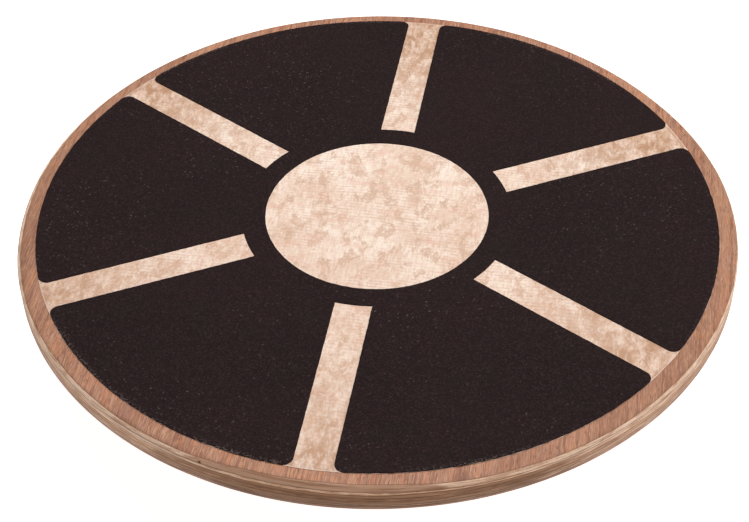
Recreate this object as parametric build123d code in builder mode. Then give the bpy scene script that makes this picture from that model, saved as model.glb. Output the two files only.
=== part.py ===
"""Round balance board: a plywood deck with a bonded grip surface, screwed to a hollow domed rocker.

Row frame, in millimetres: +Z is up, and the origin is the lowest point of the rocker, on its axis.
The deck is level. The pale strips of its top point along +Y and every 60 degrees from there.
"""

import os
from math import hypot, sqrt

from build123d import *

# ------------------------------------------------------------------ driving dimensions
# Deck: nine-ply plywood, its rim sanded round
deck_diameter = 400.0
face_veneer_thickness = 0.6
core_ply_thicknesses = (1.9, 1.2, 2.1, 2.4, 2.1, 1.2, 1.9)
deck_top_edge_radius = 4.5
deck_bottom_edge_radius = 1.5

# Grip surface: a pale film disc, and the black grip sheet die-cut and bonded on it
sheet_diameter = 379.0
film_thickness = 0.3
grip_thickness = 0.5
centre_window_diameter = 125.0
centre_ring_diameter = 151.0
strip_count = 6
strip_width = 20.0
strip_first_angle = 30.0
segment_corner_radius = 5.0

# Rocker dome: a hollow moulding, part of a sphere with a small flat at its pole, and a flange
rocker_height = 62.0
rocker_radius = 75.0
rocker_flat_radius = 9.0
rocker_wall = 5.0
flange_diameter = 184.0
flange_thickness = 5.0
flange_rim_radius = 1.5
flange_root_radius = 3.0
inner_rib_count = 6
inner_rib_thickness = 3.0
ring_rib_radius = 45.0
ring_rib_top = 40.0
hub_diameter = 24.0
hub_bore_diameter = 15.0
gusset_count = 12
gusset_thickness = 2.5
gusset_height = 11.0
gusset_toe = 1.0

# Screws through the flange into the deck, 4.2 x 13 pan head with a cross recess
screw_count = 6
screw_first_angle = 30.0
screw_circle_radius = 83.0
screw_length = 13.0
screw_major_diameter = 4.2
screw_root_diameter = 3.1
screw_pitch = 1.4
screw_point_length = 3.0
screw_tip_radius = 0.2
screw_plain_length = 1.0
screw_head_diameter = 8.0
screw_head_height = 3.0
screw_head_rounding = 1.6
recess_span = 4.4
recess_floor_span = 1.8
recess_slot_width = 1.0
recess_depth = 1.8
screw_boss_diameter = 14.0
screw_boss_height = 2.5
screw_boss_chamfer = 0.6
screw_seat_depth = 3.7
counterbore_diameter = 9.0
shank_clearance = 0.2

# Tread cap: rubber, set in a shallow pocket round the pole of the dome
cap_radius = 33.0
cap_thickness = 2.5
cap_edge_radius = 0.6
cap_groove_count = 5
cap_groove_first_radius = 10.0
cap_groove_pitch = 4.5
cap_groove_width = 1.6
cap_groove_depth = 0.8
cap_stem_diameter = 9.0
cap_barb_diameter = 12.0
cap_barb_tip_diameter = 8.0
cap_barb_height = 3.5
cap_clearance = 0.1

# ------------------------------------------------------------------ worked out from them
deck_radius = deck_diameter / 2
deck_thickness = 2 * face_veneer_thickness + sum(core_ply_thicknesses)
deck_bottom = rocker_height
deck_top = deck_bottom + deck_thickness
sheet_radius = sheet_diameter / 2
film_top = deck_top + film_thickness

sphere_centre = sqrt(rocker_radius**2 - rocker_flat_radius**2)
bowl_floor = sphere_centre - rocker_radius + rocker_wall
hub_radius = hub_diameter / 2
hub_bore_radius = hub_bore_diameter / 2
flange_radius = flange_diameter / 2
flange_bottom = rocker_height - flange_thickness
flange_root_across = sqrt(rocker_radius**2 - (sphere_centre - flange_bottom) ** 2)
cavity_radius = rocker_radius - rocker_wall
rib_reach_radius = cavity_radius + rocker_wall / 4

boss_bottom = flange_bottom - screw_boss_height
gusset_root = flange_bottom + flange_thickness / 2
screw_seat = boss_bottom + screw_seat_depth
screw_tip = screw_seat + screw_length
pilot_radius = screw_major_diameter / 2 + shank_clearance

cap_seat_radius = rocker_radius - cap_thickness
cap_pocket_radius = cap_radius + cap_clearance

FROM_CORNER = (Align.MIN, Align.MIN)
DOME_CENTRE = (0, sphere_centre)


def write_step(piece, label):
    """Labels a finished piece and writes it to its own STEP file."""
    piece.label = label
    export_step(piece, f"parts/{label}.step")


# ------------------------------------------------------------------ deck
def make_ply(label, bottom, thickness):
    """One ply: the layer of the rounded deck between two glue lines, with the screws' pilot holes."""
    with BuildPart() as ply:
        with BuildSketch(Plane.XY.offset(deck_bottom)):
            Circle(deck_radius)
        extrude(amount=deck_thickness)
        fillet(ply.edges().group_by(Axis.Z)[-1], deck_top_edge_radius)
        fillet(ply.edges().group_by(Axis.Z)[0], deck_bottom_edge_radius)
        with BuildSketch(Plane.XY.offset(bottom)):
            Circle(deck_diameter)
        extrude(amount=thickness, mode=Mode.INTERSECT)
        if bottom < screw_tip:
            with BuildSketch(Plane.XY.offset(bottom)):
                with PolarLocations(screw_circle_radius, screw_count, start_angle=screw_first_angle):
                    Circle(pilot_radius)
            extrude(amount=thickness, mode=Mode.SUBTRACT)
    write_step(ply.part, label)


# ------------------------------------------------------------------ grip surface
def make_film():
    """The pale film disc, which shows through the window and strips of the grip sheet."""
    with BuildPart() as film:
        with BuildSketch(Plane.XY.offset(deck_top)):
            Circle(sheet_radius)
        extrude(amount=film_thickness)
    write_step(film.part, "pale_film")


def make_grip_sheet():
    """The grip sheet: a ring round the centre window, joined to six segments with open strips between."""
    sheet_plane = Plane.XY.offset(film_top).rotated((0, 0, strip_first_angle))
    with BuildPart() as grip:
        with BuildSketch(sheet_plane) as outline:
            Circle(sheet_radius)
            with PolarLocations(0, strip_count):
                Rectangle(deck_radius, strip_width, align=(Align.MIN, Align.CENTER), mode=Mode.SUBTRACT)
            rim_corners = outline.vertices().filter_by(
                lambda corner: hypot(corner.X, corner.Y) > centre_ring_diameter
            )
            fillet(rim_corners, segment_corner_radius)
            Circle(centre_ring_diameter / 2)
            Circle(centre_window_diameter / 2, mode=Mode.SUBTRACT)
        extrude(amount=grip_thickness)
    write_step(grip.part, "grip_sheet")


# ------------------------------------------------------------------ rocker dome
def section_in_bowl(inner, outer, top):
    """Sketches the half-section of what stands in the bowl between two radii, rooted in its wall."""
    with BuildSketch(Plane.XZ) as section:
        with Locations(DOME_CENTRE):
            Circle(rib_reach_radius)
        with Locations((inner, 0)):
            Rectangle(outer - inner, top, align=FROM_CORNER, mode=Mode.INTERSECT)
    return section.sketch


def cap_pocket_section():
    """Sketches the half-section of the space for the tread cap: its pocket and the hole for its stem."""
    with BuildSketch() as pocket:
        Rectangle(cap_pocket_radius, rocker_radius, align=FROM_CORNER)
        with Locations(DOME_CENTRE):
            Circle(cap_seat_radius, mode=Mode.SUBTRACT)
        Rectangle(cap_stem_diameter / 2 + cap_clearance, bowl_floor, align=FROM_CORNER)
    return pocket.sketch


def make_boss():
    """The boss round one screw, on the Z axis, reaching into the flange above it."""
    with BuildPart() as boss:
        with BuildSketch(Plane.XY.offset(boss_bottom)):
            Circle(screw_boss_diameter / 2)
        extrude(amount=screw_boss_height + flange_thickness / 2)
        chamfer(boss.edges().group_by(Axis.Z)[0], screw_boss_chamfer)
    return boss.part


def make_screw_hole():
    """The space that one screw takes in the dome, on the Z axis: chamfered counterbore and shank hole."""
    counterbore_radius = counterbore_diameter / 2
    with BuildPart() as screw_hole:
        with BuildSketch(Plane.XZ):
            with BuildLine():
                Polyline(
                    (0, boss_bottom),
                    (counterbore_radius + screw_boss_chamfer, boss_bottom),
                    (counterbore_radius, boss_bottom + screw_boss_chamfer),
                    (counterbore_radius, screw_seat),
                    (pilot_radius, screw_seat),
                    (pilot_radius, rocker_height),
                    (0, rocker_height),
                    close=True,
                )
            make_face()
        revolve(axis=Axis.Z)
    return screw_hole.part


def make_rocker_dome():
    """The dome: a spherical bowl and its flange, with bosses, gussets, inner ribs, hub and cap pocket."""
    boss = make_boss()
    screw_hole = make_screw_hole()
    with BuildPart() as dome:
        # Bowl and flange, with the bore of the hub and the space for the tread cap
        with BuildSketch(Plane.XZ) as outer_section:
            with Locations(DOME_CENTRE):
                Circle(rocker_radius)
            Rectangle(flange_radius, rocker_height, align=FROM_CORNER, mode=Mode.INTERSECT)
            with Locations((0, flange_bottom)):
                Rectangle(flange_radius, flange_thickness, align=FROM_CORNER)
            flange_root = outer_section.vertices().sort_by_distance((flange_root_across, flange_bottom))[0]
            fillet(flange_root, flange_root_radius)
            flange_rim = outer_section.vertices().sort_by_distance((flange_radius, flange_bottom))[0]
            fillet(flange_rim, flange_rim_radius)
            with Locations(DOME_CENTRE):
                Circle(cavity_radius, mode=Mode.SUBTRACT)
            with Locations((0, bowl_floor)):
                Rectangle(hub_bore_radius, rocker_height, align=FROM_CORNER, mode=Mode.SUBTRACT)
            add(cap_pocket_section(), mode=Mode.SUBTRACT)
        revolve(axis=Axis.Z)

        # Bosses round the screws
        with PolarLocations(screw_circle_radius, screw_count, start_angle=screw_first_angle):
            add(boss)

        # Gussets between the bowl and the flange, a pair beside each screw, rooted in both
        with BuildSketch(Plane.XZ) as gusset_side:
            with BuildLine():
                Polyline(
                    (cavity_radius - rocker_wall, gusset_root),
                    (flange_radius - 2 * flange_rim_radius, gusset_root),
                    (flange_radius - 2 * flange_rim_radius, flange_bottom - gusset_toe),
                    (cavity_radius - rocker_wall, flange_bottom - gusset_height),
                    close=True,
                )
            make_face()
            with Locations(DOME_CENTRE):
                Circle(rib_reach_radius, mode=Mode.SUBTRACT)
        gusset = extrude(gusset_side.sketch, amount=gusset_thickness / 2, both=True, mode=Mode.PRIVATE)
        with PolarLocations(0, gusset_count, start_angle=180 / gusset_count):
            add(gusset)

        # Radial ribs, a ring rib and a hub in the bowl
        rib_side = section_in_bowl((hub_bore_radius + hub_radius) / 2, rocker_radius, rocker_height)
        rib = extrude(rib_side, amount=inner_rib_thickness / 2, both=True, mode=Mode.PRIVATE)
        with PolarLocations(0, inner_rib_count, start_angle=screw_first_angle):
            add(rib)
        ring_side = section_in_bowl(ring_rib_radius, ring_rib_radius + inner_rib_thickness, ring_rib_top)
        revolve(ring_side, axis=Axis.Z)
        revolve(section_in_bowl(hub_bore_radius, hub_radius, rocker_height), axis=Axis.Z)

        # Counterbored holes for the screws
        with PolarLocations(screw_circle_radius, screw_count, start_angle=screw_first_angle):
            add(screw_hole, mode=Mode.SUBTRACT)
    write_step(dome.part, "rocker_dome")


# ------------------------------------------------------------------ tread cap
def make_tread_cap():
    """The rubber cap: a piece of spherical shell with ring grooves, and a stem with a barb behind it."""
    with BuildPart() as cap:
        with BuildSketch(Plane.XZ) as section:
            with Locations(DOME_CENTRE):
                Circle(rocker_radius)
                Circle(cap_seat_radius, mode=Mode.SUBTRACT)
            Rectangle(cap_radius, rocker_radius, align=FROM_CORNER, mode=Mode.INTERSECT)
            outer_corner = section.vertices().group_by(Axis.X)[-1].sort_by(Axis.Y)[0]
            fillet(outer_corner, cap_edge_radius)
            for number in range(cap_groove_count):
                across = cap_groove_first_radius + number * cap_groove_pitch
                with Locations((across, sphere_centre - sqrt(rocker_radius**2 - across**2))):
                    Rectangle(cap_groove_width, 2 * cap_groove_depth, mode=Mode.SUBTRACT)
            Rectangle(cap_stem_diameter / 2, bowl_floor, align=FROM_CORNER)
            with BuildLine():
                Polyline(
                    (0, bowl_floor),
                    (cap_barb_diameter / 2, bowl_floor),
                    (cap_barb_tip_diameter / 2, bowl_floor + cap_barb_height),
                    (0, bowl_floor + cap_barb_height),
                    close=True,
                )
            make_face()
        revolve(axis=Axis.Z)
    write_step(cap.part, "tread_cap")


# ------------------------------------------------------------------ screws
def make_base_screws():
    """The six screws, head down. Ring-shaped ridges at the thread's pitch stand for the thread."""
    shank_radius = screw_root_diameter / 2
    head_face = screw_seat - screw_head_height
    thread_start = screw_seat + screw_plain_length
    thread_end = screw_tip - screw_point_length
    ridge_count = int((thread_end - thread_start) / screw_pitch)

    with BuildPart() as screw:
        with BuildSketch(Plane.XZ) as section:
            with Locations((0, head_face)):
                Rectangle(screw_head_diameter / 2, screw_head_height, align=FROM_CORNER)
            head_edge = section.vertices().group_by(Axis.X)[-1].sort_by(Axis.Y)[0]
            fillet(head_edge, screw_head_rounding)
            with Locations((0, screw_seat)):
                Rectangle(shank_radius, thread_end - screw_seat, align=FROM_CORNER)
            with BuildLine():
                Polyline(
                    (0, thread_end),
                    (shank_radius, thread_end),
                    (screw_tip_radius, screw_tip),
                    (0, screw_tip),
                    close=True,
                )
            make_face()
            for number in range(ridge_count):
                ridge = thread_start + (number + 0.5) * screw_pitch
                with BuildLine():
                    Polyline(
                        (shank_radius, ridge - screw_pitch / 3),
                        (screw_major_diameter / 2, ridge),
                        (shank_radius, ridge + screw_pitch / 3),
                        close=True,
                    )
                make_face()
        revolve(axis=Axis.Z)
        with BuildSketch(Plane.XZ.offset(-recess_slot_width / 2)) as slot_side:
            with BuildLine():
                Polyline(
                    (-recess_span / 2, head_face),
                    (recess_span / 2, head_face),
                    (recess_floor_span / 2, head_face + recess_depth),
                    (-recess_floor_span / 2, head_face + recess_depth),
                    close=True,
                )
            make_face()
        slot = extrude(slot_side.sketch, amount=recess_slot_width, mode=Mode.PRIVATE)
        with PolarLocations(0, 2, angular_range=180):
            add(slot, mode=Mode.SUBTRACT)

    with BuildPart() as base_screws:
        with PolarLocations(screw_circle_radius, screw_count, start_angle=screw_first_angle):
            add(screw.part)
    write_step(base_screws.part, "base_screws")


# ------------------------------------------------------------------ every node
os.makedirs("parts", exist_ok=True)

make_ply("bottom_face_veneer", deck_bottom, face_veneer_thickness)
ply_bottom = deck_bottom + face_veneer_thickness
for number, ply_thickness in enumerate(core_ply_thicknesses, start=1):
    make_ply(f"core_ply_{number}", ply_bottom, ply_thickness)
    ply_bottom += ply_thickness
make_ply("top_face_veneer", deck_top - face_veneer_thickness, face_veneer_thickness)
make_film()
make_grip_sheet()
make_rocker_dome()
make_tread_cap()
make_base_screws()
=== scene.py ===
from math import asin, atan2, ceil, cos, hypot, pi, radians, sin, sqrt, tau

import bpy
import numpy as np
from mathutils import Matrix, Quaternion, Vector
from mathutils.geometry import delaunay_2d_cdt


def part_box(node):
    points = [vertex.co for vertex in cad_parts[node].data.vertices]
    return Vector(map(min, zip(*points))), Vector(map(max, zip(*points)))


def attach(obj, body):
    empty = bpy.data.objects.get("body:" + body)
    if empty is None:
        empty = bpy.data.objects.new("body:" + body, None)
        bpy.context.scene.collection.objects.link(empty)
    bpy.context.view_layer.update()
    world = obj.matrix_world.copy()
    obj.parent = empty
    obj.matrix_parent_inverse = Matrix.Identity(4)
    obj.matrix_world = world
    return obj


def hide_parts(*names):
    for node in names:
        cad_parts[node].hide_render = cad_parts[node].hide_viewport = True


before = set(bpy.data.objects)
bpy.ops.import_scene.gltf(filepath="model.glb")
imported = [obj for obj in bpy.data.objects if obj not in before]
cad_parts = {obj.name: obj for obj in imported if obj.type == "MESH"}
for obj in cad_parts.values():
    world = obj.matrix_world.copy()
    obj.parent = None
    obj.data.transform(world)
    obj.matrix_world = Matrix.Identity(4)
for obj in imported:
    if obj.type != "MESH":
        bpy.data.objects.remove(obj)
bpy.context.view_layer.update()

MM = 0.001

# ------------------------------------------------------------------ sizes and levels
PLIES = ["bottom_face_veneer", *(f"core_ply_{number}" for number in range(1, 8)), "top_face_veneer"]
GLUE_LEVELS = [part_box(ply)[0].z for ply in PLIES] + [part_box("top_face_veneer")[1].z]
DECK_BOTTOM = GLUE_LEVELS[0]
DECK_TOP = GLUE_LEVELS[-1]
DECK_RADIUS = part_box("core_ply_3")[1].x
DECK_THICKNESS = DECK_TOP - DECK_BOTTOM
LEAST_EDGE_RADIUS = 3 * MM
MOST_EDGE_RADIUS = 5.8 * MM
BOTTOM_EDGE_RADIUS = 1 * MM
RING_STEPS = 720
FRONT = radians(-90)
SCREW_CIRCLE_RADIUS = 83 * MM
PILOT_HOLE_RADIUS = 2.3 * MM
HOLE_STEPS = 32
LAST_DRILLED_PLY = "core_ply_5"

FILM_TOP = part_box("pale_film")[1].z
GRIP_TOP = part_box("grip_sheet")[1].z
SHEET_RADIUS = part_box("grip_sheet")[1].x
WINDOW_RADIUS = 62.5 * MM
RING_RADIUS = 75.5 * MM
STRIP_HALF_WIDTH = 10 * MM
CORNER_RADIUS = 5 * MM
SIXTHS = [radians(30 + 60 * number) for number in range(6)]

rng = np.random.default_rng(20)


# ------------------------------------------------------------------ mesh helpers
def even_angles(count):
    """Directions evenly spaced round a whole turn."""
    return np.arange(count) * tau / count


def ring_noise(angles, size, slowest, fastest):
    """A smooth random height round a ring, with no seam; size is about its standard deviation."""
    height = np.zeros_like(angles)
    counts = np.arange(slowest, fastest)
    for count in counts:
        height += np.sin(count * angles + rng.uniform(0, tau)) / sqrt(count)
    return size * height / height.std()


def on_ring(radius, angles, height):
    """Points round the Z axis; radius and height may be one number or one for each angle."""
    height = np.broadcast_to(height, angles.shape)
    return np.stack([radius * np.cos(angles), radius * np.sin(angles), height], axis=1)


def strip_faces(first, second, count):
    """Quads between two closed rows of count vertices that start at these indices."""
    here = np.arange(count)
    after = (here + 1) % count
    return np.stack([first + here, second + here, second + after, first + after], axis=1).tolist()


def wall_faces(row_count, count):
    """Quads between each closed row of count vertices and the next."""
    faces = []
    for row in range(row_count - 1):
        faces += strip_faces(row * count, (row + 1) * count, count)
    return faces


def turning(points, triangles):
    """Twice the signed area of each triangle."""
    first, second, third = (points[triangles[:, corner], :2] for corner in range(3))
    return np.cross(second - first, third - first)


def fill_between(loops, extra=()):
    """Triangles of the flat region inside the first loop and outside the others, as point indices."""
    points = np.concatenate([*loops, extra]) if len(extra) else np.concatenate(loops)
    edges, starts = [], [0]
    for loop in loops:
        edges += [(starts[-1] + i, starts[-1] + (i + 1) % len(loop)) for i in range(len(loop))]
        starts.append(starts[-1] + len(loop))
    found = delaunay_2d_cdt([Vector(point[:2]) for point in points], edges, [], 1, 1e-9)
    source = np.array([ids[0] for ids in found[3]])
    triangles = np.sort(source[np.array(found[2])], axis=1)
    keep = np.ones(len(triangles), bool)
    for hole, start in zip(loops[1:], starts[1:]):
        x, y = hole[:, 0], hole[:, 1]
        hole_turn = np.sum(x * np.roll(y, -1) - y * np.roll(x, -1))
        own = np.all((triangles >= start) & (triangles < start + len(hole)), axis=1)
        keep &= ~(own & (turning(points, triangles) * hole_turn > 0))
    triangles = triangles[keep]
    backward = turning(points, triangles) < 0
    triangles[backward] = triangles[backward][:, ::-1]
    return triangles


def make_piece(name, node, material, points, faces):
    """A closed mesh that stands for a CAD node."""
    mesh = bpy.data.meshes.new(name)
    mesh.from_pydata(points.tolist(), [], faces)
    mesh.shade_smooth()
    mesh.set_sharp_from_angle(angle=radians(35))
    mesh.materials.append(material)
    piece = bpy.data.objects.new(name, mesh)
    bpy.context.scene.collection.objects.link(piece)
    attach(piece, "root")
    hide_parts(node)
    return piece


def store(piece, name, values):
    """Keeps one number for each vertex, for the material to read."""
    attribute = piece.data.attributes.new(name, "FLOAT", "POINT")
    attribute.data.foreach_set("value", values.astype(np.float32))


# ------------------------------------------------------------------ material helpers
SHIFT_DIRECTION = (1, 1.7, 0.6)


def linear(red, green, blue):
    """A colour from 0 to 255 values on the usual screen curve."""
    return (*(((c / 255 + 0.055) / 1.055) ** 2.4 for c in (red, green, blue)), 1)


class Nodes:
    """A node tree, with a short call for each kind of node that is used."""

    def __init__(self, tree):
        self.tree = tree

    def set(self, socket, value):
        """Links an output to the socket, or gives it a plain value."""
        if isinstance(value, bpy.types.NodeSocket):
            self.tree.links.new(value, socket)
        else:
            socket.default_value = value

    def math(self, operation, first, second=0.0):
        node = self.tree.nodes.new("ShaderNodeMath")
        node.operation = operation
        self.set(node.inputs[0], first)
        self.set(node.inputs[1], second)
        return node.outputs[0]

    def product(self, first, *others):
        for other in others:
            first = self.math("MULTIPLY", first, other)
        return first

    def vector_math(self, operation, *values):
        node = self.tree.nodes.new("ShaderNodeVectorMath")
        node.operation = operation
        for socket, value in zip(node.inputs, values):
            self.set(socket, value)
        return node.outputs

    def ramp(self, value, low, high, out_low=0.0, out_high=1.0):
        """A smooth step from out_low to out_high, while the value goes from low to high."""
        node = self.tree.nodes.new("ShaderNodeMapRange")
        node.interpolation_type = "SMOOTHSTEP"
        for socket, number in zip(node.inputs[:5], (value, low, high, out_low, out_high)):
            self.set(socket, number)
        return node.outputs[0]

    def mix(self, factor, first, second, blend="MIX"):
        node = self.tree.nodes.new("ShaderNodeMix")
        node.data_type = "RGBA"
        node.blend_type = blend
        self.set(node.inputs["Factor"], factor)
        colours = [s for s in node.inputs if s.type == "RGBA"]
        self.set(colours[0], first)
        self.set(colours[1], second)
        return next(s for s in node.outputs if s.type == "RGBA")


class Finish(Nodes):
    """One material, with calls for the patterns in it."""

    def __init__(self, name, roughness, specular):
        self.material = bpy.data.materials.new(name)
        self.material.use_nodes = True
        super().__init__(self.material.node_tree)
        self.shader = self.tree.nodes["Principled BSDF"]
        self.shader.inputs["Roughness"].default_value = roughness
        self.shader.inputs["Specular IOR Level"].default_value = specular
        self.place = self.tree.nodes.new("ShaderNodeTexCoord").outputs["Object"]

    def axes(self):
        node = self.tree.nodes.new("ShaderNodeSeparateXYZ")
        self.set(node.inputs[0], self.place)
        return node.outputs

    def distance_from(self, x, y):
        """Distance from the upright line through this point."""
        flat = self.vector_math("MULTIPLY_ADD", self.place, (1, 1, 0), (-x, -y, 0))
        return self.vector_math("LENGTH", flat[0])["Value"]

    def stretched(self, per_metre, shift=0.0):
        """The place with this much detail per metre on each axis; each shift gives another pattern."""
        offset = [shift * part for part in SHIFT_DIRECTION]
        return self.vector_math("MULTIPLY_ADD", self.place, per_metre, offset)[0]

    def noise(self, per_metre, shift=0.0, detail=2.0, distortion=0.0, roughness=0.5):
        node = self.tree.nodes.new("ShaderNodeTexNoise")
        self.set(node.inputs["Vector"], self.stretched(per_metre, shift))
        node.inputs["Scale"].default_value = 1
        node.inputs["Detail"].default_value = detail
        node.inputs["Roughness"].default_value = roughness
        node.inputs["Distortion"].default_value = distortion
        return node.outputs["Fac"]

    def cells(self, per_metre):
        """Distance from the middle of each cell, and two random numbers for each cell."""
        node = self.tree.nodes.new("ShaderNodeTexVoronoi")
        self.set(node.inputs["Vector"], self.stretched(per_metre))
        node.inputs["Scale"].default_value = 1
        shades = self.tree.nodes.new("ShaderNodeSeparateColor")
        self.set(shades.inputs[0], node.outputs["Color"])
        return node.outputs["Distance"], shades.outputs["Red"], shades.outputs["Green"]

    def stored(self, name):
        node = self.tree.nodes.new("ShaderNodeAttribute")
        node.attribute_name = name
        return node.outputs["Fac"]

    def bump(self, height, depth):
        node = self.tree.nodes.new("ShaderNodeBump")
        node.inputs["Distance"].default_value = depth
        self.set(node.inputs["Height"], height)
        return node.outputs[0]

    def finish(self, colour, roughness, normal):
        self.set(self.shader.inputs["Base Color"], colour)
        self.set(self.shader.inputs["Roughness"], roughness)
        self.set(self.shader.inputs["Normal"], normal)
        return self.material


def along_grain(axis, across, along, deep):
    """Detail per metre for a sheet of wood whose grain runs along X or Y; deep is through the sheet."""
    return (along, across, deep) if axis == "X" else (across, along, deep)


# ------------------------------------------------------------------ materials
RIPPLE_LENGTH = 2.4 * MM


def face_wood(name, shift):
    """Reddish face veneer: streaks of several hues and open pores along Y, and painted shade at the left
    and right.
    """
    f = Finish(name, 0.6, 0.3)
    figure = f.noise(along_grain("Y", 26, 3, 90), shift + 29, detail=3, distortion=0.6)
    broad = f.noise(along_grain("Y", 90, 5, 90), shift, detail=4, distortion=0.3, roughness=0.6)
    hue = f.noise(along_grain("Y", 330, 8, 90), shift + 17, detail=3, distortion=0.2, roughness=0.6)
    streak = f.noise(along_grain("Y", 620, 12, 90), shift + 3, detail=4, distortion=0.2, roughness=0.6)
    fine = f.noise(along_grain("Y", 1700, 130, 300), shift + 5, detail=3, distortion=0.3)
    pores = f.noise(along_grain("Y", 1500, 260, 300), shift + 9, detail=2, distortion=0.3)
    blot = f.noise(along_grain("Y", 260, 110, 90), shift + 37, detail=3, distortion=0.2, roughness=0.6)
    colour = f.mix(f.ramp(broad, 0.32, 0.68), linear(144, 98, 76), linear(188, 137, 107))
    colour = f.mix(f.ramp(hue, 0.5, 0.66, 0, 0.55), colour, linear(202, 130, 96))
    colour = f.mix(f.ramp(hue, 0.48, 0.3, 0, 0.5), colour, linear(168, 126, 108))
    colour = f.mix(f.ramp(blot, 0.52, 0.64, 0, 0.5), colour, linear(208, 138, 98))
    colour = f.mix(f.ramp(blot, 0.46, 0.36, 0, 0.4), colour, linear(186, 136, 122))
    colour = f.mix(f.ramp(streak, 0.45, 0.68, 0, 0.72), colour, linear(134, 85, 65))
    colour = f.mix(f.ramp(fine, 0.44, 0.7, 0, 0.75), colour, linear(211, 162, 132))
    colour = f.mix(f.ramp(figure, 0.52, 0.68, 0, 0.3), colour, linear(142, 96, 74))
    pore = f.ramp(pores, 0.58, 0.68)
    colour = f.mix(f.product(pore, 0.5), colour, linear(114, 70, 54))
    # Painted shade: the veneer darker toward the left and right sides of the deck.
    sideways = f.math("ABSOLUTE", f.axes()["X"])
    colour = f.mix(f.ramp(sideways, 100 * MM, 195 * MM, 0, 0.22), colour, linear(128, 92, 68))
    colour = f.mix(f.product(f.stored("glue"), 0.5), colour, linear(120, 82, 64))
    height = f.math("SUBTRACT", f.product(fine, 0.4), pore)
    return f.finish(colour, f.ramp(fine, 0.2, 0.8, 0.52, 0.72), f.bump(height, 0.05 * MM))


def core_wood(name, axis, shift, sap, front_shade, shade_zone):
    """Core ply seen at the sanded rim: grain along X or Y, and a darker painted shade in its zone at the
    front.
    """
    f = Finish(name, 0.7, 0.2)
    broad = f.noise(along_grain(axis, 70, 6, 200), shift, detail=3, distortion=0.5)
    streak = f.noise(along_grain(axis, 130, 14, 1300), shift + 3, detail=4, distortion=0.3, roughness=0.6)
    fine = f.noise(along_grain(axis, 900, 70, 2600), shift + 5, detail=2)
    pores = f.noise(along_grain(axis, 1600, 160, 3200), shift + 9, detail=1)
    outer = f.mix(f.ramp(broad, 0.3, 0.7), *sap)
    shaded = f.mix(f.ramp(broad, 0.3, 0.7), *front_shade)
    # Painted shade: the darker colours in the zone, toward the front of the rim.
    facing, edge, blur = shade_zone
    x, y = f.axes()["X"], f.axes()["Y"]
    forward = f.math("ADD", f.product(x, cos(facing)), f.product(y, sin(facing)))
    forward = f.math("ADD", forward, f.product(f.math("SUBTRACT", broad, 0.5), blur))
    colour = f.mix(f.ramp(forward, edge - blur / 2, edge + blur / 2), outer, shaded)
    shade = f.mix(f.ramp(streak, 0.38, 0.68), linear(255, 252, 250), linear(204, 184, 170))
    colour = f.mix(1.0, colour, shade, "MULTIPLY")
    colour = f.mix(f.ramp(fine, 0.45, 0.75, 0, 0.3), colour, linear(240, 214, 188), "SOFT_LIGHT")
    pore = f.ramp(pores, 0.62, 0.7)
    colour = f.mix(f.product(pore, 0.4), colour, linear(104, 74, 54))
    colour = f.mix(f.product(f.stored("glue"), 0.9), colour, linear(84, 58, 42))
    height = f.math("SUBTRACT", f.product(fine, 0.5), pore)
    return f.finish(colour, f.ramp(fine, 0.2, 0.8, 0.6, 0.85), f.bump(height, 0.06 * MM))


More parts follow.
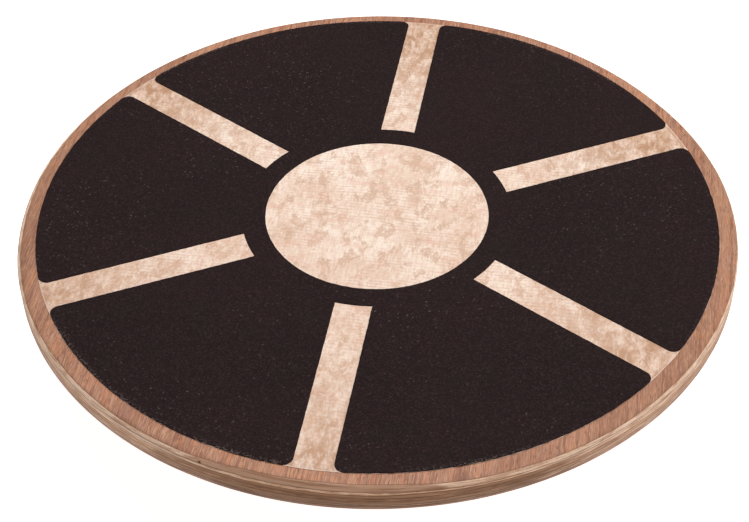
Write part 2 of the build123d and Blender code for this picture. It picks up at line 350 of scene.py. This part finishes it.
def film_print():
    """Pale maple print: brown and pink mottling, ripples along X, a browner outer part, painted shade
    toward the front and a painted highlight at the cut edge.
    """
    f = Finish("maple_film", 0.5, 0.3)
    y = f.axes()["Y"]
    radius = f.distance_from(0, 0)
    outer = f.ramp(f.distance_from(-8 * MM, -12 * MM), 84 * MM, 186 * MM)
    cloud = f.noise((44, 34, 30), 2, detail=6, distortion=0.3, roughness=0.66)
    flecks = f.noise((125, 80, 60), 11, detail=8, distortion=0.15, roughness=0.68)
    small = f.noise((520, 340, 200), 4, detail=4, distortion=0.1, roughness=0.7)
    grain = f.noise((1100, 150, 120), 7, detail=3)
    colour = f.mix(f.ramp(cloud, 0.32, 0.66), linear(233, 203, 180), linear(254, 237, 221))
    mottle = f.ramp(f.noise((230, 150, 100), 53, detail=5, distortion=0.2, roughness=0.7), 0.44, 0.62)
    colour = f.mix(f.product(mottle, 0.3), colour, linear(224, 184, 160))
    patch = f.product(f.ramp(flecks, 0.51, 0.58), f.ramp(small, 0.4, 0.54, 0.3, 1))
    colour = f.mix(f.product(patch, 0.8), colour, linear(198, 154, 122))
    blush = f.ramp(f.noise((75, 120, 60), 41, detail=4, distortion=0.2), 0.52, 0.7)
    colour = f.mix(f.product(blush, 0.5), colour, linear(232, 184, 164))
    drift = f.product(f.noise((28, 34, 20), 15, detail=2), 14)
    ripple = f.math("SINE", f.math("ADD", f.product(y, tau / RIPPLE_LENGTH), drift))
    broken = f.ramp(f.noise((150, 300, 50), 25, detail=3), 0.38, 0.6, 0.15, 1)
    where = f.product(f.ramp(f.noise((24, 30, 20), 19, detail=2), 0.38, 0.56, 0.25, 1), broken)
    colour = f.mix(f.product(f.ramp(ripple, -0.2, 1, 0, 0.5), where), colour, linear(206, 164, 142))
    colour = f.mix(f.ramp(grain, 0.4, 0.7, 0, 0.45), colour, linear(214, 176, 152))
    colour = f.mix(f.ramp(small, 0.5, 0.66, 0, 0.5), colour, linear(252, 238, 226))
    stain = f.noise((170, 80, 90), 67, detail=6, distortion=0.2, roughness=0.68)
    stain = f.product(outer, f.ramp(stain, 0.37, 0.62, 0.12, 1))
    colour = f.mix(stain, colour, linear(184, 140, 108))
    speckle = f.ramp(f.noise((520, 380, 200), 73, detail=3, distortion=0.1, roughness=0.6), 0.53, 0.62)
    beyond = f.ramp(radius, 66 * MM, 110 * MM, 0.1, 1)
    colour = f.mix(f.product(speckle, beyond, 0.4), colour, linear(208, 158, 124))
    vein = f.noise((130, 60, 60), 83, detail=4, distortion=0.6)
    vein = f.math("ABSOLUTE", f.math("SUBTRACT", vein, 0.5))
    vein = f.product(f.ramp(vein, 0.024, 0.004), f.ramp(small, 0.4, 0.55))
    colour = f.mix(f.product(vein, beyond, 0.4), colour, linear(248, 228, 216))
    # Painted shade: the print darker toward the front of the deck.
    colour = f.mix(f.ramp(y, 10 * MM, -62 * MM, 0, 0.14), colour, linear(206, 160, 132))
    # Painted highlight: a pale ring where the film's edge catches the light.
    colour = f.mix(f.ramp(radius, 188.7 * MM, 189.1 * MM, 0, 0.6), colour, linear(240, 210, 192))
    height = f.math("ADD", grain, f.product(small, 0.6))
    return f.finish(colour, f.ramp(grain, 0.2, 0.8, 0.42, 0.56), f.bump(height, 0.02 * MM))


def grit():
    """Black anti-slip sheet: grains of about 0.7 mm, painted glints on a few of them, and a patchy pale
    rim.
    """
    f = Finish("black_grit", 0.9, 0.15)
    grain_distance, own, glint_pick = f.cells((1350, 1350, 1350))
    patches = f.noise((14, 14, 14), 3, detail=4)
    tint = f.noise((60, 60, 60), 33, detail=3)
    fine = f.noise((2600, 2600, 2600), 6, detail=3, distortion=0, roughness=0.7)
    colour = f.mix(f.ramp(patches, 0.3, 0.7), linear(27, 17, 18), linear(33, 21, 22))
    colour = f.mix(f.ramp(tint, 0.45, 0.7, 0, 0.5), colour, linear(27, 22, 20))
    colour = f.mix(f.ramp(own, 0.3, 1, 0, 0.7), colour, linear(52, 36, 36))
    colour = f.mix(f.ramp(fine, 0.45, 0.7, 0, 0.4), colour, linear(60, 41, 41))
    glint_crowd = f.ramp(f.noise((16, 16, 16), 29, detail=4), 0.38, 0.62, 0.2, 1)
    # Some grains paler, in patches, along a band at the sheet's outer edge.
    rim = f.ramp(f.distance_from(0, 0), 186.5 * MM, 189.6 * MM)
    rim_patches = f.ramp(f.noise((9, 9, 9), 61, detail=2), 0.42, 0.6)
    rim = f.product(rim, rim_patches, f.ramp(own, 0.5, 1))
    colour = f.mix(f.product(rim, 0.45), colour, linear(140, 126, 118))
    # Painted glints: a few grains made lighter, more of them in some patches.
    colour = f.mix(f.product(f.ramp(glint_pick, 0.968, 1.012), glint_crowd), colour, linear(94, 83, 80))
    height = f.math("ADD", grain_distance, f.product(fine, 0.5))
    return f.finish(colour, f.ramp(fine, 0.3, 0.7, 0.8, 0.98), f.bump(height, 0.12 * MM))


def plastic():
    """Black moulded plastic: a fine spark-eroded texture, with patches of light scuffs."""
    f = Finish("black_plastic", 0.45, 0.5)
    spark = f.noise((1700, 1700, 1700), 1, detail=3)
    cloud = f.noise((22, 22, 22), 4, detail=3)
    scratch = f.noise((60, 1400, 500), 8, detail=2, distortion=1.2)
    colour = f.mix(f.ramp(cloud, 0.3, 0.7), linear(34, 34, 35), linear(41, 41, 43))
    rim_patches = f.product(f.ramp(scratch, 0.66, 0.72), f.ramp(cloud, 0.45, 0.6))
    colour = f.mix(f.product(rim_patches, 0.5), colour, linear(92, 91, 90))
    roughness = f.math("ADD", f.ramp(spark, 0.2, 0.8, 0.36, 0.56), f.product(rim_patches, 0.2))
    return f.finish(colour, roughness, f.bump(spark, 0.05 * MM))


def rubber():
    """Dull black rubber with dust and scuffs."""
    f = Finish("black_rubber", 0.8, 0.3)
    fine = f.noise((2400, 2400, 2400), 2, detail=3)
    cloud = f.noise((70, 70, 70), 5, detail=4)
    scratch = f.noise((1100, 90, 300), 12, detail=2, distortion=1.5)
    colour = f.mix(f.ramp(cloud, 0.35, 0.7), linear(30, 30, 31), linear(50, 49, 48))
    colour = f.mix(f.ramp(scratch, 0.62, 0.72, 0, 0.5), colour, linear(86, 83, 79))
    return f.finish(colour, f.ramp(cloud, 0.3, 0.7, 0.7, 0.9), f.bump(fine, 0.04 * MM))


def zinc():
    """Bright zinc-plated steel, a little uneven and dulled in places."""
    f = Finish("zinc_steel", 0.3, 0.5)
    f.shader.inputs["Metallic"].default_value = 1
    cloud = f.noise((700, 700, 700), 3, detail=3)
    fine = f.noise((4000, 4000, 900), 9, detail=2)
    colour = f.mix(f.ramp(cloud, 0.3, 0.7), linear(186, 189, 190), linear(214, 214, 208))
    colour = f.mix(f.ramp(cloud, 0.62, 0.75, 0, 0.5), colour, linear(150, 146, 132))
    return f.finish(colour, f.ramp(cloud, 0.3, 0.7, 0.22, 0.42), f.bump(fine, 0.01 * MM))


# ------------------------------------------------------------------ deck
# Small gaps left at the rim between a ply's strips: angle, depth below the top, half length, half height
PLY_GAPS = {
    "core_ply_7": [(radians(-106), 2.0 * MM, 0.7 * MM, 0.25 * MM)],
    "core_ply_5": [(radians(47), 4.9 * MM, 1.6 * MM, 0.4 * MM)],
    "core_ply_2": [(radians(163), 10.9 * MM, 1.3 * MM, 0.3 * MM)],
}
GAP_DEPTH = 1.4 * MM
GAP_ZONE = radians(1.6)
GAP_STEPS = 41
RIM_ROWS = 11
GAP_PLY_ROWS = 25
BESIDE_GLUE = [0.02, 0.05, 0.95, 0.98]
GLUE_LINE = 0.26 * MM
GLUE_GROOVE = 0.07 * MM
CORE_GLUE_WAVE = 0.11 * MM
FACE_GLUE_WAVE = 0.06 * MM
# Where the glue line under the top veneer strays most: direction, half width, power, distance up
TOP_GLUE_STRAYS = [
    (radians(-88), radians(16), 4, 0.45 * MM),
    (radians(-135), radians(20), 2, 0.1 * MM),
    (0, radians(16), 2, -0.25 * MM),
]
# On a ply's faces, the radii from where the face is flat to where it follows the glue line's waves
FACE_RADII = (165 * MM, 180 * MM, 188 * MM)


def deck_angles():
    """Angles round the rim, closer together at the gaps."""
    beside_gap = GAP_ZONE * np.linspace(-1, 1, GAP_STEPS)
    close = [gap[0] + beside_gap for gaps in PLY_GAPS.values() for gap in gaps]
    angles = np.concatenate([even_angles(RING_STEPS), *close]) % tau
    return np.unique(np.round(angles, 6))


def apart(angles, other):
    """The angle between directions, whichever way round is shorter."""
    return np.abs((angles - other + pi) % tau - pi)


def swell(angles, middle, half_width, power):
    """A smooth rise to 1 at the middle direction; a higher power makes it flatter on top."""
    return np.exp(-((apart(angles, middle) / half_width) ** power))


def edge_rounding(angles):
    """The hand-sanded top edge: sharper at the two sides than at the front and round the back."""
    sharp_middle, sharp_reach, blend = radians(-65), radians(80), radians(30)
    front = swell(angles, FRONT, radians(25), 2)
    back = np.clip((apart(angles, sharp_middle) - sharp_reach) / blend, 0, 1)
    share = np.maximum(front, back * back * (3 - 2 * back))
    return LEAST_EDGE_RADIUS + (MOST_EDGE_RADIUS - LEAST_EDGE_RADIUS) * share


def path_at(depth, rounding):
    """Distance along the rim's section, from the start of its top rounding, at a depth below the top."""
    straight_end = DECK_THICKNESS - BOTTOM_EDGE_RADIUS
    rounded = rounding * np.arccos(1 - np.clip(depth / rounding, 0, 1))
    straight = np.clip(depth, rounding, straight_end) - rounding
    last = BOTTOM_EDGE_RADIUS * np.arcsin(np.clip((depth - straight_end) / BOTTOM_EDGE_RADIUS, 0, 1))
    return rounded + straight + last


def rim_at(path, rounding):
    """Radius, height and outward normal of the rim's section at a distance along it."""
    quarter = rounding * pi / 2
    straight_end = quarter + DECK_THICKNESS - BOTTOM_EDGE_RADIUS - rounding
    upper = np.clip(path / rounding, 0, pi / 2)
    lower = np.clip((path - straight_end) / BOTTOM_EDGE_RADIUS, 0, pi / 2)
    radius = DECK_RADIUS - rounding * (1 - np.sin(upper)) - BOTTOM_EDGE_RADIUS * (1 - np.cos(lower))
    depth = rounding * (1 - np.cos(upper)) + np.clip(path, quarter, straight_end) - quarter
    depth = depth + BOTTOM_EDGE_RADIUS * np.sin(lower)
    return radius, DECK_TOP - depth, np.sin(upper) * np.cos(lower), np.cos(upper) - np.sin(lower)


def glue_waves(angles):
    """How far up each glue line strays from its level, round the rim."""
    waves = [np.zeros(len(angles))]
    for number in range(1, len(PLIES)):
        size = FACE_GLUE_WAVE if number in (1, len(PLIES) - 1) else CORE_GLUE_WAVE
        waves.append(np.clip(ring_noise(angles, size, slowest=2, fastest=40), -2 * size, 2 * size))
    for middle, half_width, power, distance in TOP_GLUE_STRAYS:
        waves[-1] += distance * swell(angles, middle, half_width, power)
    waves.append(np.zeros(len(angles)))
    return waves


def rim_shares(has_gaps):
    """Where a ply's rim has rows, from its top at 0 to its bottom at 1, closer at the glue lines."""
    even = np.linspace(0, 1, GAP_PLY_ROWS if has_gaps else RIM_ROWS)
    return np.unique(np.concatenate([even, BESIDE_GLUE]))


def gap_depths(angles, height, gaps):
    """How deep a ply's small gaps reach into one row of its rim."""
    depths = np.zeros(len(angles))
    for angle, depth, half_length, half_height in gaps:
        along = apart(angles, angle) * DECK_RADIUS / half_length
        up = (DECK_TOP - depth - height) / half_height
        depths += GAP_DEPTH * np.exp(-(along**4 + up**4))
    return depths


def flat_rows(angles, level, wave):
    """Rows of a ply's face inside the rim, where the glue line settles to its level."""
    rows = []
    for reach in FACE_RADII:
        fade = (reach - FACE_RADII[0]) / (FACE_RADII[-1] - FACE_RADII[0])
        rows.append(on_ring(reach, angles, level + fade * wave))
    return rows, [np.zeros(len(angles))] * len(rows)


def make_deck():
    """The nine plies, with slightly uneven glue lines and fine grooves between them at the rim."""
    angles = deck_angles()
    rounding = edge_rounding(angles)
    waves = glue_waves(angles)
    paths = [path_at(DECK_TOP - level - wave, rounding) for level, wave in zip(GLUE_LEVELS, waves)]
    finishes = deck_finishes()
    for number, ply in enumerate(PLIES):
        start, end = paths[number + 1], paths[number]
        gaps = PLY_GAPS.get(ply, [])
        rows, glue = flat_rows(angles, GLUE_LEVELS[number + 1], waves[number + 1])
        for share in rim_shares(len(gaps) > 0):
            path = start + (end - start) * share
            radius, height, normal_across, normal_up = rim_at(path, rounding)
            to_glue = end - path if ply == PLIES[-1] else np.minimum(path - start, end - path)
            closeness = np.clip(1 - to_glue / GLUE_LINE, 0, 1)
            sunk = GLUE_GROOVE * closeness + gap_depths(angles, height, gaps)
            rows.append(on_ring(radius - sunk * normal_across, angles, height - sunk * normal_up))
            glue.append(closeness)
        under, under_glue = flat_rows(angles, GLUE_LEVELS[number], waves[number])
        rows += under[::-1]
        glue += under_glue
        make_ply(ply, rows, glue, finishes[ply], number <= PLIES.index(LAST_DRILLED_PLY))


def make_ply(ply, rows, glue, finish, drilled):
    """One ply from its rows of rim points, filled across, with the pilot holes for the screws."""
    count = len(rows[0])
    hole_angles = even_angles(HOLE_STEPS)
    centres = [SCREW_CIRCLE_RADIUS * np.array([cos(a), sin(a), 0]) for a in SIXTHS] if drilled else []
    top, bottom = rows[0][0, 2], rows[-1][0, 2]
    top_holes = [centre + on_ring(PILOT_HOLE_RADIUS, hole_angles, top) for centre in centres]
    bottom_holes = [centre + on_ring(PILOT_HOLE_RADIUS, hole_angles, bottom) for centre in centres]

    triangles = fill_between([rows[0], *top_holes])
    rim_total = len(rows) * count
    hole_total = HOLE_STEPS * len(centres)
    hole_points = rim_total + np.arange(hole_total)
    top_index = np.concatenate([np.arange(count), hole_points])
    bottom_index = np.concatenate([rim_total - count + np.arange(count), hole_points + hole_total])
    faces = wall_faces(len(rows), count)
    faces += top_index[triangles].tolist()
    faces += bottom_index[triangles][:, ::-1].tolist()
    for first in range(rim_total, rim_total + hole_total, HOLE_STEPS):
        faces += strip_faces(first + hole_total, first, HOLE_STEPS)
    points = np.concatenate([*rows, *top_holes, *bottom_holes])
    slot, material = finish
    piece = make_piece(f"{ply}_wood", ply, material, points, faces)
    store(piece, "glue", np.concatenate([*glue, np.zeros(2 * hole_total)]))


def deck_finishes():
    """A slot name and the material of each ply.

    Each wood is a pair of colours that it varies between. A core ply turns from its own colours to painted
    shade
    in its zone at the front of the rim: the zone's direction, how far out that way it starts, and how soft
    its edge is.
    """
    # The darker pairs and the zones below paint shade on the front of the rim, which faces away from the
    # lamps.
    light_brown = linear(178, 136, 106), linear(150, 112, 84)
    dark_brown = linear(160, 120, 92), linear(138, 102, 76)
    dull_brown = linear(166, 129, 102), linear(144, 110, 86)
    grey_brown = linear(172, 140, 119), linear(148, 119, 100)
    ochre = linear(246, 206, 174), linear(224, 180, 150)
    tan = linear(204, 164, 138), linear(178, 142, 118)
    front_right = radians(-82), 178 * MM, 28 * MM
    wide_front = radians(-80), 172 * MM, 34 * MM
    narrow_front = FRONT, 188.6 * MM, 2 * MM
    tones = {
        1: ((linear(206, 172, 151), linear(184, 149, 129)), grey_brown, front_right),
        2: ((linear(229, 195, 172), linear(209, 172, 149)), grey_brown, front_right),
        3: ((linear(222, 187, 161), linear(200, 165, 139)), dull_brown, front_right),
        4: ((linear(222, 180, 150), linear(198, 156, 128)), dark_brown, wide_front),
        5: ((linear(251, 214, 186), linear(234, 194, 166)), light_brown, wide_front),
        6: ((linear(252, 224, 201), linear(238, 204, 180)), ochre, front_right),
        7: ((linear(251, 220, 196), linear(238, 202, 176)), tan, narrow_front),
    }
    made = {
        "bottom_face_veneer": ("face_veneer", face_wood("lower_face_wood", 40)),
        "top_face_veneer": ("face_veneer", face_wood("upper_face_wood", 0)),
    }
    for number, (sap, front_shade, shade_zone) in tones.items():
        axis, slot = ("X", "cross_ply") if number % 2 else ("Y", "long_ply")
        finish = core_wood(f"core_wood_{number}", axis, 9 * number, sap, front_shade, shade_zone)
        made[f"core_ply_{number}"] = (slot, finish)
    return made


# ------------------------------------------------------------------ film
FILM_RADII = (20 * MM, 60 * MM, 100 * MM, 140 * MM, 170 * MM, 186 * MM)
FILM_UNDER_RADIUS = 100 * MM
FILM_SHOWING = 0.08 * MM
FILM_RAGGEDNESS = 0.05 * MM
FILM_BEVEL_WIDTH = 0.12 * MM
FILM_BEVEL_HEIGHT = 0.08 * MM


def make_film_disc():
    """The printed film: a thin disc whose cut edge shows just outside the grip sheet."""
    angles = even_angles(RING_STEPS)
    edge = SHEET_RADIUS + FILM_SHOWING + ring_noise(angles, FILM_RAGGEDNESS, slowest=3, fastest=90)
    rows = [on_ring(radius, angles, FILM_TOP) for radius in FILM_RADII]
    rows.append(on_ring(edge - FILM_BEVEL_WIDTH, angles, FILM_TOP))
    rows.append(on_ring(edge, angles, FILM_TOP - FILM_BEVEL_HEIGHT))
    rows.append(on_ring(edge, angles, DECK_TOP))
    rows.append(on_ring(FILM_UNDER_RADIUS, angles, DECK_TOP))
    points = np.concatenate([*rows, [[0, 0, FILM_TOP], [0, 0, DECK_TOP]]])
    middle = len(rows) * RING_STEPS
    under, last = middle + 1, middle - RING_STEPS
    faces = wall_faces(len(rows), RING_STEPS)
    steps = [(here, (here + 1) % RING_STEPS) for here in range(RING_STEPS)]
    faces += [[middle, here, after] for here, after in steps]
    faces += [[under, last + after, last + here] for here, after in steps]
    make_piece("maple_film_disc", "pale_film", film_print(), points, faces)


# ------------------------------------------------------------------ grip sheet
EDGE_SPACING = 0.7 * MM
EDGE_FRAY = 0.08 * MM
SHOULDER_WIDTH = 0.3 * MM
SHOULDER_DROP = (0.1 * MM, 0.22 * MM)
RELIEF = 0.06 * MM
RELIEF_PITCH = 1.3 * MM
RELIEF_SHIFT = 0.3 * RELIEF_PITCH
RELIEF_MARGIN = 0.9 * MM
# Middle of the rounded corner between a strip and the rim, across the strip and along it
FILLET_ACROSS = STRIP_HALF_WIDTH + CORNER_RADIUS
FILLET_ALONG = sqrt((SHEET_RADIUS - CORNER_RADIUS) ** 2 - FILLET_ACROSS**2)


def arc(centre, radius, start, end):
    """Points along an arc, without its last one."""
    steps = max(2, ceil(abs(end - start) * radius / EDGE_SPACING))
    turn = np.linspace(start, end, steps, endpoint=False)
    return np.stack([centre[0] + radius * np.cos(turn), centre[1] + radius * np.sin(turn)], axis=1)


def line(start, end):
    """Points along a line, without its last one."""
    steps = max(2, ceil(hypot(end[0] - start[0], end[1] - start[1]) / EDGE_SPACING))
    share = np.linspace(0, 1, steps, endpoint=False)[:, None]
    return np.array(start) + share * (np.array(end) - np.array(start))


def turned(parts, angle):
    """The parts of an outline, turned about the middle of the sheet."""
    turn = np.array([[cos(angle), sin(angle)], [-sin(angle), cos(angle)]])
    return [points @ turn for points in parts]


def sheet_outline():
    """The sheet's outer outline, anticlockwise: round a strip's inner end, out, along the rim and back."""
    rim_turn = atan2(FILLET_ACROSS, FILLET_ALONG)
    end_turn = asin(STRIP_HALF_WIDTH / RING_RADIUS)
    root_along = RING_RADIUS * cos(end_turn)
    way_out = [
        arc((0, 0), RING_RADIUS, -end_turn, end_turn),
        line((root_along, STRIP_HALF_WIDTH), (FILLET_ALONG, STRIP_HALF_WIDTH)),
        arc((FILLET_ALONG, FILLET_ACROSS), CORNER_RADIUS, -pi / 2, rim_turn),
    ]
    way_back = [
        arc((FILLET_ALONG, -FILLET_ACROSS), CORNER_RADIUS, -rim_turn, pi / 2),
        line((FILLET_ALONG, -STRIP_HALF_WIDTH), (root_along, -STRIP_HALF_WIDTH)),
    ]
    parts = []
    for turn in SIXTHS:
        ahead_turn = turn + radians(60)
        parts += turned(way_out, turn)
        parts.append(arc((0, 0), SHEET_RADIUS, turn + rim_turn, ahead_turn - rim_turn))
        parts += turned(way_back, ahead_turn)
    return np.concatenate(parts)


def outward(loop):
    """Unit normals of a closed loop in the plane, to its right as it runs."""
    run = np.roll(loop, -1, axis=0) - np.roll(loop, 1, axis=0)
    run /= np.linalg.norm(run, axis=1)[:, None]
    return np.stack([run[:, 1], -run[:, 0]], axis=1)


def frayed(loop):
    """The loop with the small unevenness of a cut through grit."""
    noise = rng.normal(0, 1, len(loop))
    kernel = np.array([1, 3, 4, 3, 1]) / 12
    noise = np.convolve(np.concatenate([noise[-2:], noise, noise[:2]]), kernel, "valid")
    return loop + outward(loop) * (EDGE_FRAY * noise)[:, None]


def in_sheet(points, margin):
    """Which points lie in the grip sheet and at least this far from its edge."""
    x, y = points[:, 0], points[:, 1]
    radius = np.hypot(x, y)
    inside = (radius < SHEET_RADIUS - margin) & (radius > WINDOW_RADIUS + margin)
    for turn in SIXTHS:
        along = x * cos(turn) + y * sin(turn)
        across = np.abs(-x * sin(turn) + y * cos(turn))
        in_strip = (along > 0) & (across < STRIP_HALF_WIDTH + margin)
        inside &= ~(in_strip & (radius > RING_RADIUS - margin))
        beside = np.hypot(along - FILLET_ALONG, across - FILLET_ACROSS)
        in_corner = (along > FILLET_ALONG) & (across < FILLET_ACROSS)
        inside &= ~(in_corner & (beside > CORNER_RADIUS - margin))
    return inside


def relief_places():
    """Points in an uneven triangular pattern over the sheet, clear of its edge."""
    columns = np.arange(-SHEET_RADIUS, SHEET_RADIUS, RELIEF_PITCH)
    lines = np.arange(-SHEET_RADIUS, SHEET_RADIUS, RELIEF_PITCH * sqrt(3) / 2)
    grid = np.stack(np.meshgrid(columns, lines), axis=-1)
    grid[1::2, :, 0] += RELIEF_PITCH / 2
    places = grid.reshape(-1, 2)
    places = places + rng.uniform(-RELIEF_SHIFT, RELIEF_SHIFT, places.shape)
    return places[in_sheet(places, RELIEF_MARGIN)]


def lowered(places, least, most):
    """Points in the plane, set at random depths below the sheet's top."""
    return np.column_stack([places, GRIP_TOP - rng.uniform(least, most, len(places))])


def make_grit_sheet():
    """The black sheet: gritty relief on top, a frayed cut edge with a soft shoulder, and a flat back."""
    outer = frayed(sheet_outline())
    window_angles = -even_angles(int(tau * WINDOW_RADIUS / EDGE_SPACING))
    window = frayed(on_ring(WINDOW_RADIUS, window_angles, 0)[:, :2])
    shaded = relief_places()

    loops = [outer, window]
    crown = [lowered(loop - outward(loop) * SHOULDER_WIDTH, 0, RELIEF) for loop in loops]
    relief = lowered(shaded, 0, RELIEF)
    side = [lowered(loop, *SHOULDER_DROP) for loop in loops]
    back = [np.column_stack([loop, np.full(len(loop), FILM_TOP)]) for loop in loops]
    edge_count = len(outer) + len(window)
    top_count = edge_count + len(relief)
    faces = fill_between(crown, relief).tolist()
    faces += (fill_between(back) + top_count + edge_count)[:, ::-1].tolist()
    for start, count in ((0, len(outer)), (len(outer), len(window))):
        faces += strip_faces(start, top_count + start, count)
        faces += strip_faces(top_count + start, top_count + edge_count + start, count)
    points = np.concatenate([*crown, relief, *side, *back])
    make_piece("gritty_sheet", "grip_sheet", grit(), points, faces)


# ------------------------------------------------------------------ moulded and bought pieces
def dress(node, material):
    """Gives a CAD node its finish."""
    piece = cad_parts[node]
    piece.data.materials.clear()
    piece.data.materials.append(material)


# ------------------------------------------------------------------ studio
FLOOR_HALF_WIDTH = 30
FLOOR_GLOW = 0.92
SKY_LEAST = 0.004
# Extra light from each side of the sky: the direction that it comes from, and its strength
SKY_PARTS = [((0, 0, 1), 0.04), ((1, 0, 0.3), 0.028), ((-1, 0.1, 0.3), 0.025), ((0, 1, 0.4), 0.03)]


def make_floor():
    """A large plain pale floor that nearly lights itself, so that shadows on it stay faint."""
    mesh = bpy.data.meshes.new("floor")
    half = FLOOR_HALF_WIDTH
    corners = [(-half, -half, 0), (half, -half, 0), (half, half, 0), (-half, half, 0)]
    mesh.from_pydata(corners, [], [(0, 1, 2, 3)])
    floor = bpy.data.objects.new("floor", mesh)
    bpy.context.scene.collection.objects.link(floor)
    material = bpy.data.materials.new("pale_floor")
    material.use_nodes = True
    shader = material.node_tree.nodes["Principled BSDF"]
    shader.inputs["Base Color"].default_value = (0.6, 0.6, 0.6, 1)
    shader.inputs["Roughness"].default_value = 0.9
    shader.inputs["Specular IOR Level"].default_value = 0.1
    shader.inputs["Emission Color"].default_value = (1, 1, 1, 1)
    shader.inputs["Emission Strength"].default_value = FLOOR_GLOW
    mesh.materials.append(material)


def make_sky():
    """Soft surrounding light: most from above, less from the sides and behind, little from the front."""
    world = bpy.data.worlds.new("studio")
    world.use_nodes = True
    sky = Nodes(world.node_tree)
    direction = sky.tree.nodes.new("ShaderNodeTexCoord").outputs["Generated"]
    light = SKY_LEAST
    for toward, strength in SKY_PARTS:
        facing = sky.vector_math("DOT_PRODUCT", direction, Vector(toward).normalized())["Value"]
        light = sky.math("ADD", light, sky.ramp(facing, 0, 1, 0, strength))
    seen = sky.tree.nodes.new("ShaderNodeMix")
    seeing = sky.tree.nodes.new("ShaderNodeLightPath").outputs["Is Camera Ray"]
    sky.set(seen.inputs["Factor"], seeing)
    sky.set(seen.inputs["A"], light)
    sky.set(seen.inputs["B"], 1.0)
    background = sky.tree.nodes["Background"]
    sky.set(background.inputs["Color"], (1, 1, 1, 1))
    sky.set(background.inputs["Strength"], seen.outputs["Result"])
    bpy.context.scene.world = world


def make_softbox(name, place, aim, size, watts):
    """A square area light aimed at a point."""
    light = bpy.data.lights.new(name, "AREA")
    light.shape = "SQUARE"
    light.size = size
    light.energy = watts
    lamp = bpy.data.objects.new(name, light)
    bpy.context.scene.collection.objects.link(lamp)
    lamp.location = place
    lamp.rotation_mode = "QUATERNION"
    lamp.rotation_quaternion = (Vector(aim) - Vector(place)).to_track_quat("-Z", "Y")


def make_camera():
    """A long lens, about 0.9 m from the deck, looking down on it from the front."""
    azimuth, elevation, distance = radians(-80.1), radians(40.72), 0.912
    pan, tilt, roll = radians(0.107), radians(-1.72), radians(0.709)
    target = Vector((0, 0, GRIP_TOP))
    away = Vector((cos(elevation) * cos(azimuth), cos(elevation) * sin(azimuth), sin(elevation)))
    forward = -away
    right = forward.cross(Vector((0, 0, 1))).normalized()
    up = right.cross(forward)
    for axis, angle in (("up", pan), ("right", tilt), ("forward", roll)):
        turn = Quaternion({"up": up, "right": right, "forward": forward}[axis], angle)
        forward, right, up = turn @ forward, turn @ right, turn @ up
    data = bpy.data.cameras.new("camera")
    data.lens = 78.19
    data.sensor_width = 36
    data.clip_start = 0.05
    camera = bpy.data.objects.new("camera", data)
    bpy.context.scene.collection.objects.link(camera)
    facing = Matrix((right, up, -forward)).transposed().to_4x4()
    camera.matrix_world = Matrix.Translation(target + distance * away) @ facing
    bpy.context.scene.camera = camera


# ------------------------------------------------------------------ the whole scene
make_deck()
make_film_disc()
make_grit_sheet()
dress("rocker_dome", plastic())
dress("tread_cap", rubber())
dress("base_screws", zinc())
make_floor()
make_sky()
make_softbox("overhead", place=(0.1, 0.4, 1.9), aim=(0, 0, 0.05), size=1.6, watts=42)
make_softbox("right_side", place=(1.9, 0.1, 0.8), aim=(0, 0, 0.07), size=1.2, watts=8)
make_camera()
bpy.context.scene.view_settings.view_transform = "Standard"
